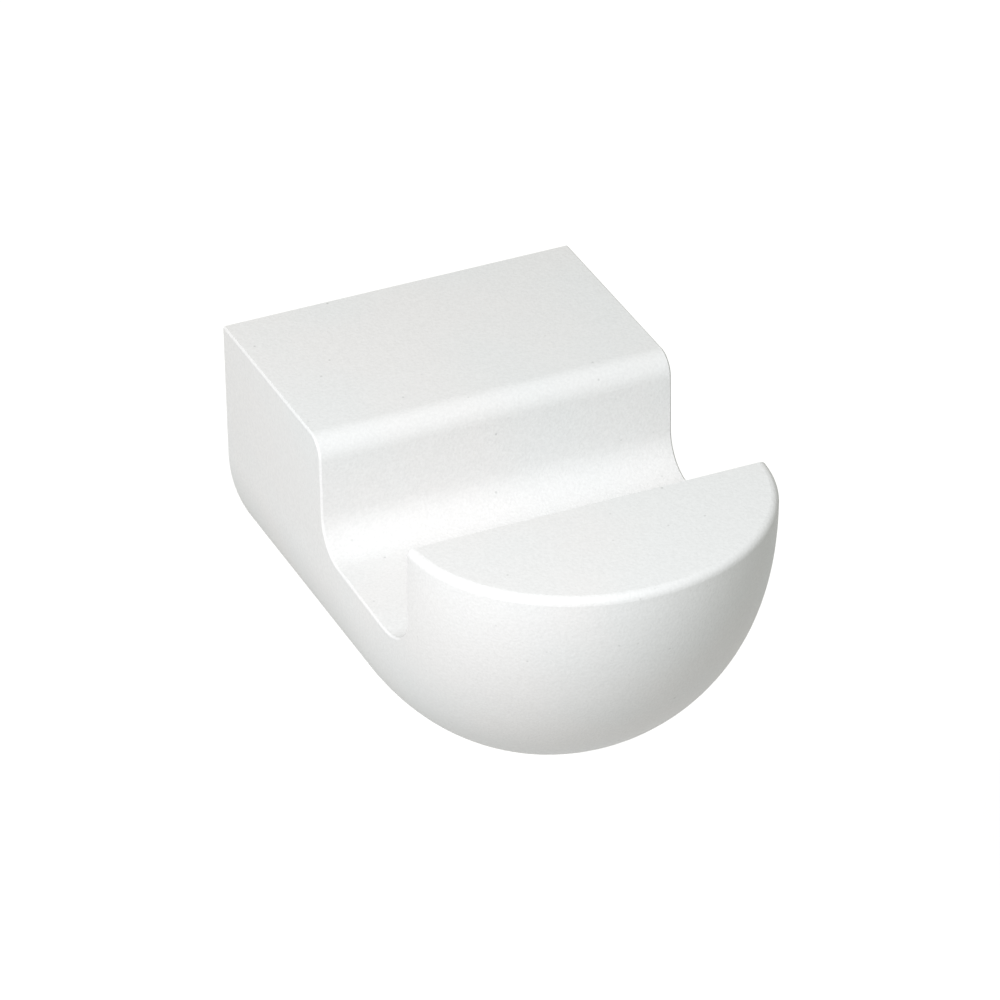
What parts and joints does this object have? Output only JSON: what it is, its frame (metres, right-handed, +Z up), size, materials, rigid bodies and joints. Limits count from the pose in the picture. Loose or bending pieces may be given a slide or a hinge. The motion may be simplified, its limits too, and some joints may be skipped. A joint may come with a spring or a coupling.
{
  "type": "wall hook",
  "caption": "Thick one-piece bathroom wall hook with flat top and sides, a rounded underside that turns up into the nose, a groove across the top and a hidden threaded hole.",
  "frame": {"origin": "centre of the fixing hole's mouth, on the wall plane at the back face", "axes": "+Y out of the hole into the wall, so the hook stands out towards -Y; +Z up; +X across the wall"},
  "size_m": [0.03, 0.05, 0.0255],
  "materials": {
    "white_coat": "satin powder coat with a fine orange peel"
  },
  "bodies": {
    "root": {"hook_body": "white_coat"}
  },
  "joints": []
}
